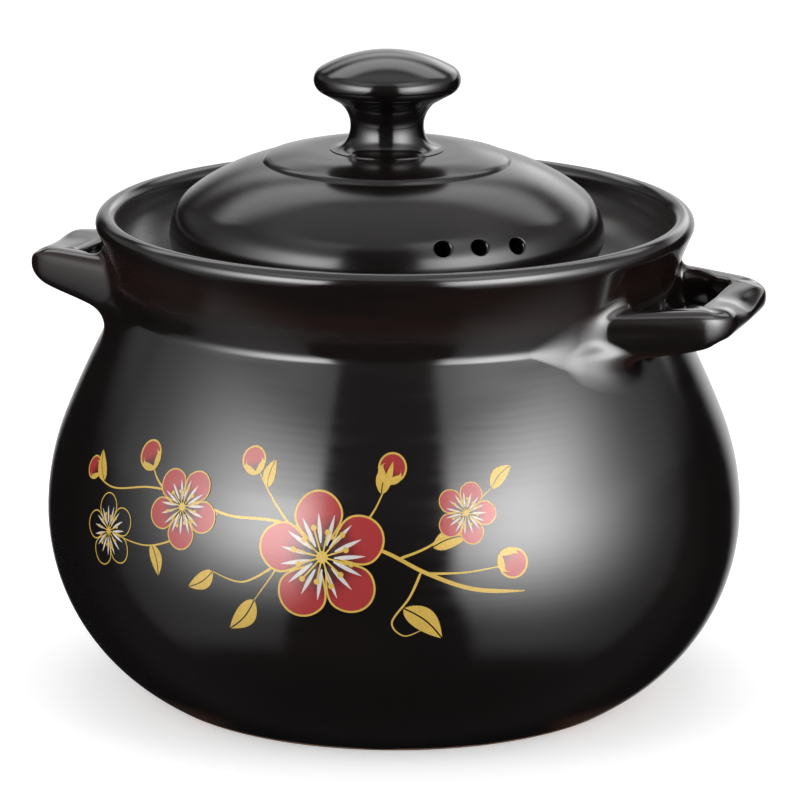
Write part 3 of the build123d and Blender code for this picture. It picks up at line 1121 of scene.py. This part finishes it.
def makeBlossom():
    # one blossom of radius 1 mm, as its red, its white and its gold
    b = blossomForm
    layer = ornament["layer"]
    first, sweep = b["rimTurns"]

    def rim(share):
        angle = radians(first + sweep * share)
        return petalPoint(cos(angle), sin(angle))

    def strokeWidth(share):
        return b["strokeWidth"] * sin(pi * min(1, share * 0.9 + 0.1)) + b["strokeEnd"]

    def petalCopies(model, above):
        # each petal lies over the one before it
        turns = [(360 / b["petals"] * n, layer * (3 * n + above)) for n in range(b["petals"])]
        return copiesOf(model, [(0, 0, 1, turn, lift) for turn, lift in turns])

    petal = newSheet(
        "petal", 12, 12,
        lambda u, v: petalPoint(*discPoint(u, v)), 0,
        lambda u, v: (discPoint(u, v)[1] + 1) / 2,
    )
    outline = ribbon("outline", rim, lambda share: b["rimWidth"], 44, 0)
    strokes = []
    for lean in b["strokeLeans"]:
        def along(share, lean=lean):
            return lean * (0.5 + share), b["strokeStart"] + b["strokeLength"] * share - abs(lean) * 0.3
        strokes.append(ribbon("stroke", along, strokeWidth, 8, 0))
    stroke = joined("strokes", strokes)
    red = joined("blossomRed", petalCopies(petal, 0))
    gold = petalCopies(outline, 1)
    white = joined("blossomWhite", petalCopies(stroke, 2))
    top = layer * (3 * b["petals"] + 1)
    for number in range(b["stamens"]):
        angle = radians(number * 360 / b["stamens"] + b["stamenTurn"])
        length = b["stamenLengths"][number % 2]
        end = (cos(angle) * length, sin(angle) * length)

        def stamen(share, end=end):
            return end[0] * share, end[1] * share

        def anther(u, v, end=end):
            x, y = discPoint(u, v)
            return x * b["anther"] + end[0], y * b["anther"] + end[1]
        gold.append(ribbon("stamen", stamen, lambda share: b["stamenWidth"], 8, top))
        gold.append(newSheet("anther", 5, 5, anther, top + layer))
    heart = newSheet(
        "heart", 7, 7, lambda u, v: tuple(c * b["heart"] for c in discPoint(u, v)), top + layer * 2
    )
    for piece in (petal, outline, stroke):
        discard(piece)
    return red, white, joined("blossomGold", gold + [heart])


# shares of a leaf's length
leafForm = {
    "halfWidth": 0.24,
    "blunt": 0.8,
    "vein": 0.016,
    "bow": 0.08,
}


def makeLeaf():
    # a gold leaf of length 1 mm in two halves, with the dark glaze left open as its vein
    f = leafForm
    halves = []
    for side in (-1, 1):
        def shape(u, v, side=side):
            share = (u + 1) / 2
            swell = f["halfWidth"] * sin(pi * share ** f["blunt"]) ** f["blunt"] if 0 < share < 1 else 0
            edge = f["vein"] + max(0, swell - f["vein"]) * (v + 1) / 2
            return share, side * edge + f["bow"] * sin(pi * share)
        halves.append(newSheet("leafHalf", 14, 4, shape, 0))
    return joined("leaf", halves)


# shares of a bud's radius
budForm = {
    "rimWidth": 0.14,
    "sepalCurl": 2.2,
    "sepalReach": 0.75,
    "sepalRoot": -1.15,
    "sepalLength": 1.25,
    "sepalWidth": 0.5,
    "sepalEnd": 0.02,
}


def makeBud():
    # a round red bud of radius 1 mm with a gold rim and two gold sepals
    f = budForm
    layer = ornament["layer"]

    def circle(share):
        return cos(2 * pi * share), sin(2 * pi * share)

    def sepalWidth(share):
        return f["sepalWidth"] * sin(pi * min(1, 0.15 + share)) + f["sepalEnd"]

    red = newSheet("budRed", 8, 8, discPoint, 0, lambda u, v: 0.55 + 0.45 * v)
    gold = [ribbon("budRim", circle, lambda share: f["rimWidth"], 28, layer)]
    for side in (-1, 1):
        def sepal(share, side=side):
            across = side * sin(share * f["sepalCurl"]) * f["sepalReach"]
            return across, f["sepalRoot"] + f["sepalLength"] * share
        gold.append(ribbon("sepal", sepal, sepalWidth, 10, 2 * layer))
    return red, joined("budGold", gold)


def wrapOnBelly(piece):
    # x runs round the belly, y runs up its outline, and z stands proud of the glaze
    p, o = pot, ornament
    lower, upper, shoulder, shoulderCurve, _ = bellyCircles()
    lean = p["shoulderLean"]
    for vertex in piece.data.vertices:
        x, y, z = vertex.co / mm
        lift = z + o["proud"]
        y -= o["drop"]
        angle = degrees(y / p["upperCurve"])
        if y < 0:
            r, h = onCircle(lower, p["lowerCurve"] + lift, degrees(y / p["lowerCurve"]))
        elif angle < lean:
            r, h = onCircle(upper, p["upperCurve"] + lift, angle)
        else:
            past = y - radians(lean) * p["upperCurve"]
            r, h = onCircle(shoulder, shoulderCurve + lift, lean + degrees(past / shoulderCurve))
        around = radians(o["bearing"]) + x / p["bellyRadius"]
        vertex.co = Vector((r * cos(around), r * sin(around), h)) * mm


def makeOrnament():
    o = ornament
    layer = o["layer"]
    gold = []
    for number, points in enumerate(o["twigs"]):
        thick = o["branchWidth"] * (1 if number == 0 else o["twigShare"])

        def width(share, thick=thick):
            # thin where it starts, then slowly tapering
            return thick * (1.05 - 0.75 * share) * min(1, 0.2 + share * 12)
        gold.append(ribbon("twig", throughPoints(points), width, 10 * len(points), 0))
    leaf = makeLeaf()
    gold += copiesOf(leaf, [(*place, layer * 2) for place in o["leaves"]])
    budRed, budGold = makeBud()
    buds = [(x, y, size, turn - 90, layer * 3) for x, y, size, turn in o["buds"]]
    red = copiesOf(budRed, buds)
    gold += copiesOf(budGold, buds)
    blossomRed, blossomWhite, blossomGold = makeBlossom()
    blossoms = [(*place, layer * 4) for place in o["blossoms"]]
    allBlossoms = blossoms + [(*place, layer * 4) for place in o["paleBlossoms"]]
    red += copiesOf(blossomRed, blossoms)
    white = copiesOf(blossomWhite, allBlossoms)
    gold += copiesOf(blossomGold, allBlossoms)
    for model in (leaf, budRed, budGold, blossomRed, blossomWhite, blossomGold):
        discard(model)
    parts = []
    for name, pieces in (("ornamentRed", red), ("ornamentGold", gold), ("ornamentWhite", white)):
        piece = joined(name, pieces)
        piece.data.name = name
        applyModifier(piece, "SOLIDIFY", thickness=o["thickness"] * mm, offset=-1)
        wrapOnBelly(piece)
        parts.append(piece)
    return parts


enamelLook = {
    "red": {"dark": (0.03, 0.006, 0.005, 1), "light": (0.38, 0.034, 0.036, 1), "roughness": 0.2},
    "gold": {"dark": (0.5, 0.32, 0.05, 1), "light": (0.66, 0.44, 0.08, 1), "roughness": 0.26},
    "white": {"dark": (0.4, 0.36, 0.34, 1), "light": (0.7, 0.66, 0.64, 1), "roughness": 0.22},
    "grainDepth": 0.05,
}


def makeEnamel(kind):
    # fired-on colour that deepens towards the heart of each petal
    look = enamelLook[kind]
    material, shade, surface, where = newMaterial("enamel" + kind.capitalize())
    tone = shade.node("ShaderNodeAttribute", {"attribute_name": "tone"}, output="Fac")
    grain = noise(shade, where, 1400, 2.0)
    cloud = noise(shade, where, 160, 2.0)
    share = (tone + (cloud - 0.5) * 0.35).ramp(0.12, 0.62)
    colour = (share * (0.82 + grain * 0.3)).blend(look["dark"], look["light"])
    relief = {"Strength": 0.4, "Distance": enamelLook["grainDepth"] * mm, "Height": grain}
    bump = shade.node("ShaderNodeBump", None, relief)
    roughness = grain.ramp(0.2, 0.8, look["roughness"] - 0.03, look["roughness"] + 0.05)
    setSurface(shade, surface, {"Base Color": colour, "Roughness": roughness, "Normal": bump})
    return material


# Camera, at the photograph's place. Pixels are those of its 800 x 800 frame

camera = {
    "turn": 18.7,
    "pitch": 14.4027,
    "distance": 1.7,
    "height": 0.54015,
    "aside": 0.002,
    "focalPixels": 4870.68,
    "framePixels": 800,
    "sensor": 36,
    "clipEnd": 50,
    "roll": 0.2,
}


def makeCamera():
    c = camera
    bpy.ops.object.camera_add()
    eye = bpy.context.object
    turn = Matrix.Rotation(radians(c["turn"]), 4, "Z")
    tilt = Matrix.Rotation(radians(90 - c["pitch"]), 4, "X")
    roll = Matrix.Rotation(radians(c["roll"]), 4, "Z")
    eye.matrix_world = turn @ Matrix.Translation((c["aside"], -c["distance"], c["height"])) @ tilt @ roll
    eye.data.sensor_width = c["sensor"]
    eye.data.lens = c["focalPixels"] * c["sensor"] / c["framePixels"]
    eye.data.clip_end = c["clipEnd"]
    bpy.context.scene.camera = eye


# Studio: a pale floor, soft lamps, and two tall soft boxes that the glaze mirrors

studio = {
    "floorRadius": 9,
    "floorColour": (0.93, 0.93, 0.93, 1),
    "floorGlow": (0.42, 0.42, 0.42, 1),
    "fill": 0.62,
    "lampPower": 5,
    "aimHeight": 0.1,
    # each lamp's bearing, distance, height and size
    "lamps": {
        "keyLeft": (-55, 1.3, 0.9, (0.9, 1.2)),
        "keyRight": (55, 1.3, 0.9, (0.9, 1.2)),
        "overhead": (180, 0.5, 1.6, (1.2, 1.2)),
    },
}


def makeFloor():
    bpy.ops.object.select_all(action="DESELECT")
    bpy.ops.mesh.primitive_circle_add(vertices=96, radius=studio["floorRadius"], fill_type="NGON")
    ground = bpy.context.object
    ground.name = "studioFloor"
    material, shade, surface, _ = newMaterial("paleFloor")
    # the camera sees the floor white, and no more light falls on the pot for it
    seen = shade.node("ShaderNodeLightPath", output="Is Camera Ray")
    setSurface(shade, surface, {
        "Base Color": studio["floorColour"],
        "Roughness": 0.9,
        "Specular IOR Level": 0.0,
        "Emission Color": seen.blend((0, 0, 0, 1), studio["floorGlow"]),
        "Emission Strength": 1.0,
    })
    ground.data.materials.append(material)
    # the photographed glaze mirrors no floor, and the lit boxes reach below it
    ground.visible_glossy = False


# bearings and rises in degrees, each pair from none to all of it or the other way round
softBoxes = {
    "right": {
        "inner": 15.5,
        "innerBlur": 7,
        "corner": (-10, 0.35),  # below this rise the inner border leans outwards
        "outer": 112,
        "outerLean": 0.38,
        "bottom": (-54, -38),
        "top": (64, 74),
        "core": (43, 30),
        "coreFall": 24,
        "coreGlow": (23, 37, 14, 1.5),
        "haze": (50, 40),
        "hazeGlow": (10, 40, 0.6, 1.4),
    },
    "left": {
        "inner": 24,
        "innerBlur": 4,
        "corner": (-2, 0.4),
        "outer": 108,
        "outerLean": 0.3,
        "bottom": (-50, -36),
        "top": (56, 70),
        "core": (40, 31),
        "coreFall": 21,
        "coreGlow": (20, 37, 13, 1),
        "haze": (60, 40),
        "hazeGlow": (10, 40, 0.5, 0.6),
    },
    "outerBlur": 5,
    "coreTop": 12,
}

# lit places behind the pot: how far each leans to the right, how far behind it starts,
# and the rises where it begins and where it ends, with its strength
litBehind = {
    "highStrip": (0, (0.4, 0.6), (30, 38), (49, 57, 2.4, 0)),
    "stripFoot": (0, (0.8, 0.95), (14, 26), (30, 38, 2, 0)),
    "rightPatch": (0.5, (0.98, 1.06), (6, 12), (22, 34, 1.6, 0)),
    "backdrop": (0.12, (0.88, 0.98), (-36, -24), (14, 26, 0.85, 0)),
}


def softBox(side, towards, rise):
    # a tall box, brightest at its middle, with a clear inner border and a rounded lower corner
    b = softBoxes[side]
    blur = softBoxes["outerBlur"]
    cornerRise, cornerLean = b["corner"]
    inner = towards - b["inner"] + (rise - cornerRise).of("MINIMUM", 0) * cornerLean
    outer = towards - b["outer"] - rise * b["outerLean"]
    box = inner.ramp(0, b["innerBlur"]) * outer.ramp(-blur, blur, 1, 0)
    box = box * rise.ramp(*b["bottom"]) * rise.ramp(*b["top"], 1, 0)
    fall = (rise - softBoxes["coreTop"]).of("MINIMUM", 0)
    core = towards.bell(*b["core"]) * fall.bell(0, b["coreFall"]) * rise.ramp(*b["coreGlow"])
    return box * (core + towards.bell(*b["haze"]) * rise.ramp(*b["hazeGlow"]))


def makeWorld():
    world = bpy.data.worlds.new("studio")
    bpy.context.scene.world = world
    world.use_nodes = True
    world.cycles.sampling_method = "NONE"
    tree = world.node_tree
    shade = Shade(tree)
    way = shade.node("ShaderNodeTexCoord", output="Generated")
    turned = shade.node("ShaderNodeVectorRotate", {"rotation_type": "Z_AXIS"},
                        {"Vector": way, "Angle": -radians(camera["turn"])})
    across, depth, height = turned.split()
    # a bearing of 0 is at the camera, 90 at the right and 180 behind the pot
    bearing = across.of("ARCTAN2", depth * -1) * (180 / pi)
    rise = height.of("ARCSINE") * (180 / pi)
    mirrored = softBox("right", bearing, rise) + softBox("left", bearing * -1, rise)
    # a pale ceiling, and faint light from the sides and from the room
    mirrored = mirrored + rise.ramp(42, 62) * depth.ramp(0.42, 0.6, 0.95, 0.4)
    mirrored = mirrored + across.of("ABSOLUTE").ramp(0.35, 0.75) * rise.ramp(4, 14, 0, 0.3)
    gloom = rise.ramp(-8, 30, 0.05, 0.16) * rise.ramp(-75, -50, 0.6, 1) * depth.ramp(0.2, 0.7, 1, 0.15)
    mirrored = mirrored + gloom
    for lean, far, begins, ends in litBehind.values():
        mirrored = mirrored + (depth + across * lean).ramp(*far) * rise.ramp(*begins) * rise.ramp(*ends)

    seen = shade.node("ShaderNodeLightPath", output="Is Camera Ray")
    through = shade.node("ShaderNodeLightPath", output="Is Transmission Ray")
    glossy = shade.node("ShaderNodeLightPath", output="Is Glossy Ray")
    strength = seen + through + glossy * mirrored + (1 - seen - through - glossy) * studio["fill"]
    background = tree.nodes["Background"]
    background.inputs["Color"].default_value = (1, 1, 1, 1)
    tree.links.new(strength.socket, background.inputs["Strength"])


def makeLamp(name, bearing, distance, height, size):
    bpy.ops.object.light_add(type="AREA")
    lamp = bpy.context.object
    lamp.name = name
    around = radians(bearing + camera["turn"])
    lamp.location = (sin(around) * distance, -cos(around) * distance, height)
    aim = Vector((0, 0, studio["aimHeight"])) - lamp.location
    lamp.rotation_euler = aim.to_track_quat("-Z", "Y").to_euler()
    lamp.data.shape = "RECTANGLE"
    lamp.data.size, lamp.data.size_y = size
    lamp.data.energy = studio["lampPower"]
    lamp.visible_camera = False
    lamp.visible_glossy = False


# Finished pieces

makeCamera()
print("camera placed")
glaze = makeGlaze("pot")
lidGlaze = makeGlaze("lid")
knobGlaze = makeGlaze("knob")
potBody = makePotBody()
smoothShade(potBody)
print("pot body turned")
ears = {side: makeEar(side, potBody) for side in ("right", "left")}
print("ears luted on")
lidDome = makeLid()
lidKnob = makeKnob()
for piece in (lidDome, lidKnob):
    moveTo(piece, lidCentre.x, lidCentre.y)
print("lid and knob made")
bareFoot = makeFootRing()
ornamentRed, ornamentGold, ornamentWhite = makeOrnament()
print("ornament fired on")

for piece, node, body, finish in (
    (potBody, "pot_body", "pot", glaze),
    (ears["right"], "handle_right", "pot", glaze),
    (ears["left"], "handle_left", "pot", glaze),
    (lidDome, "lid", "lid", lidGlaze),
    (lidKnob, "lid_knob", "lid", knobGlaze),
):
    if piece not in (potBody, lidDome):
        smoothShade(piece)
    piece.data.materials.clear()
    piece.data.materials.append(finish)
    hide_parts(node)
    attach(piece, body)

for piece, material, slot in (
    (bareFoot, makeBareClay(), "bare_clay"),
    (ornamentRed, makeEnamel("red"), "decal_red"),
    (ornamentGold, makeEnamel("gold"), "decal_gold"),
    (ornamentWhite, makeEnamel("white"), "decal_white"),
):
    smoothShade(piece)
    piece.data.materials.clear()
    piece.data.materials.append(material)
    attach(piece, "pot")

makeFloor()
makeWorld()
for name, place in studio["lamps"].items():
    makeLamp(name, *place)
print("studio lit")

scene = bpy.context.scene
scene.view_settings.view_transform = "Standard"
